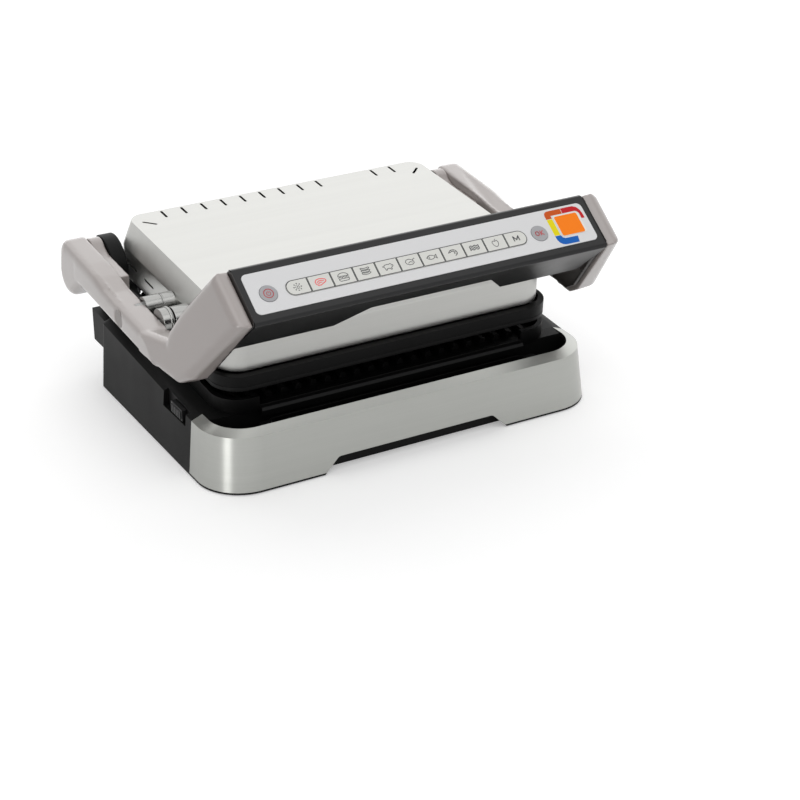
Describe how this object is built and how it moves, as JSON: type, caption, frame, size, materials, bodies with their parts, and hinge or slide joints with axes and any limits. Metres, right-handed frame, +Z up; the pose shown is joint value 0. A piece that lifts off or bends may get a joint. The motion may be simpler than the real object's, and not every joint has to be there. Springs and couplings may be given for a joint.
{
  "type": "contact grill",
  "caption": "Electric contact grill with a hinged lid, floating ribbed upper plate, removable ribbed plates, front drip tray and a pull-down beam with programme keys.",
  "frame": {"origin": "middle of the footprint on the table, under the middle of the bounding box", "axes": "+X to the right seen from the front, +Y to the rear, +Z up; the control beam faces -Y"},
  "size_m": [0.388, 0.3018, 0.1864],
  "materials": {
    "steel": "horizontal brushing, satin",
    "black_plastic": "fine grain, matt",
    "beam_plastic": "smooth, satin",
    "taupe_paint": "smooth warm grey, soft gloss",
    "chrome": "polished",
    "pin_steel": "turned",
    "rod_steel": "dark tube of a heating rod",
    "foil": "plain sheet",
    "coated_plate": "dark non-stick coating on die-cast aluminium",
    "tray_plastic": "smooth",
    "rubber": "matt",
    "panel": "light grey film over a plastic panel",
    "key_plastic": "satin off-white",
    "button_plastic": "satin grey",
    "release_plastic": "fine grain",
    "lens": "lit window",
    "board": "solder mask"
  },
  "bodies": {
    "base": {"base_shell": "black_plastic", "front_moulding": "black_plastic", "hinge_block": "black_plastic", "left_hinge_tower": "black_plastic", "right_hinge_tower": "black_plastic", "front_wrap": "steel", "bottom_cover": "black_plastic", "feet": "rubber", "bottom_screws": "pin_steel", "power_inlet": "rubber", "lower_reflector": "foil", "lower_heater": "rod_steel", "lower_heater_clips": "foil"},
    "lid_frame": {"left_arm": "taupe_paint", "right_arm": "taupe_paint", "left_riser_lining": "black_plastic", "right_riser_lining": "black_plastic", "left_hinge_boss": "taupe_paint", "right_hinge_boss": "taupe_paint", "arm_caps": "taupe_paint", "hinge_pins": "pin_steel", "float_pins": "pin_steel", "arm_sleeves": "chrome", "stop_tubes_arm": "chrome", "control_beam": "beam_plastic", "control_panel": "panel", "circuit_board": "board", "indicator_lens": "lens"},
    "upper_head": {"upper_cover": "steel", "upper_frame": "black_plastic", "rear_frame": "black_plastic", "upper_reflector": "foil", "upper_heater": "rod_steel", "upper_heater_clips": "foil", "cover_sleeves": "chrome", "stop_tubes_cover": "chrome"},
    "drip_tray": {"drip_tray": "tray_plastic"},
    "lower_plate": {"lower_plate": "coated_plate"},
    "upper_plate": {"upper_plate": "coated_plate"},
    "release_button": {"release_button": "release_plastic"},
    "power_button": {"power_button": "button_plastic"},
    "ok_button": {"ok_button": "button_plastic"},
    "key_01": {"key_01": "key_plastic"},
    "key_02": {"key_02": "key_plastic"},
    "key_03": {"key_03": "key_plastic"},
    "key_04": {"key_04": "key_plastic"},
    "key_05": {"key_05": "key_plastic"},
    "key_06": {"key_06": "key_plastic"},
    "key_07": {"key_07": "key_plastic"},
    "key_08": {"key_08": "key_plastic"},
    "key_09": {"key_09": "key_plastic"},
    "key_10": {"key_10": "key_plastic"},
    "key_11": {"key_11": "key_plastic"}
  },
  "joints": [
    {"name": "lid_hinge", "type": "hinge", "parent": "base", "child": "lid_frame", "pos_m": [0, 0.13262, 0.10041], "axis": [-1, 0, 0], "range_deg": [0, 180]},
    {"name": "head_float", "type": "hinge", "parent": "lid_frame", "child": "upper_head", "pos_m": [0, 0.01858, 0.10995], "axis": [1, 0, 0], "range_deg": [0, 3.2]},
    {"name": "lower_plate_lift", "type": "slide", "parent": "base", "child": "lower_plate", "axis": [0, -0.0638, 0.998], "range_m": [0, 0.006]},
    {"name": "upper_plate_release", "type": "slide", "parent": "upper_head", "child": "upper_plate", "axis": [0, 0.0638, -0.998], "range_m": [0, 0.006]},
    {"name": "drip_tray_lift", "type": "slide", "parent": "base", "child": "drip_tray", "axis": [0, 0, 1], "range_m": [0, 0.05]},
    {"name": "release_push", "type": "slide", "parent": "base", "child": "release_button", "axis": [1, 0, 0], "range_m": [0, 0.0025], "stiffness_N_per_m": 250, "springref_m": -0.003},
    {"name": "power_button_press", "type": "slide", "parent": "lid_frame", "child": "power_button", "axis": [0, 0.5787, -0.8155], "range_m": [0, 0.0006], "stiffness_N_per_m": 300, "springref_m": -0.001},
    {"name": "ok_button_press", "type": "slide", "parent": "lid_frame", "child": "ok_button", "axis": [0, 0.5787, -0.8155], "range_m": [0, 0.0006], "stiffness_N_per_m": 300, "springref_m": -0.001},
    {"name": "key_01_press", "type": "slide", "parent": "lid_frame", "child": "key_01", "axis": [0, 0.5787, -0.8155], "range_m": [0, 0.0006], "stiffness_N_per_m": 300, "springref_m": -0.001},
    {"name": "key_02_press", "type": "slide", "parent": "lid_frame", "child": "key_02", "axis": [0, 0.5787, -0.8155], "range_m": [0, 0.0006], "stiffness_N_per_m": 300, "springref_m": -0.001},
    {"name": "key_03_press", "type": "slide", "parent": "lid_frame", "child": "key_03", "axis": [0, 0.5787, -0.8155], "range_m": [0, 0.0006], "stiffness_N_per_m": 300, "springref_m": -0.001},
    {"name": "key_04_press", "type": "slide", "parent": "lid_frame", "child": "key_04", "axis": [0, 0.5787, -0.8155], "range_m": [0, 0.0006], "stiffness_N_per_m": 300, "springref_m": -0.001},
    {"name": "key_05_press", "type": "slide", "parent": "lid_frame", "child": "key_05", "axis": [0, 0.5787, -0.8155], "range_m": [0, 0.0006], "stiffness_N_per_m": 300, "springref_m": -0.001},
    {"name": "key_06_press", "type": "slide", "parent": "lid_frame", "child": "key_06", "axis": [0, 0.5787, -0.8155], "range_m": [0, 0.0006], "stiffness_N_per_m": 300, "springref_m": -0.001},
    {"name": "key_07_press", "type": "slide", "parent": "lid_frame", "child": "key_07", "axis": [0, 0.5787, -0.8155], "range_m": [0, 0.0006], "stiffness_N_per_m": 300, "springref_m": -0.001},
    {"name": "key_08_press", "type": "slide", "parent": "lid_frame", "child": "key_08", "axis": [0, 0.5787, -0.8155], "range_m": [0, 0.0006], "stiffness_N_per_m": 300, "springref_m": -0.001},
    {"name": "key_09_press", "type": "slide", "parent": "lid_frame", "child": "key_09", "axis": [0, 0.5787, -0.8155], "range_m": [0, 0.0006], "stiffness_N_per_m": 300, "springref_m": -0.001},
    {"name": "key_10_press", "type": "slide", "parent": "lid_frame", "child": "key_10", "axis": [0, 0.5787, -0.8155], "range_m": [0, 0.0006], "stiffness_N_per_m": 300, "springref_m": -0.001},
    {"name": "key_11_press", "type": "slide", "parent": "lid_frame", "child": "key_11", "axis": [0, 0.5787, -0.8155], "range_m": [0, 0.0006], "stiffness_N_per_m": 300, "springref_m": -0.001}
  ]
}
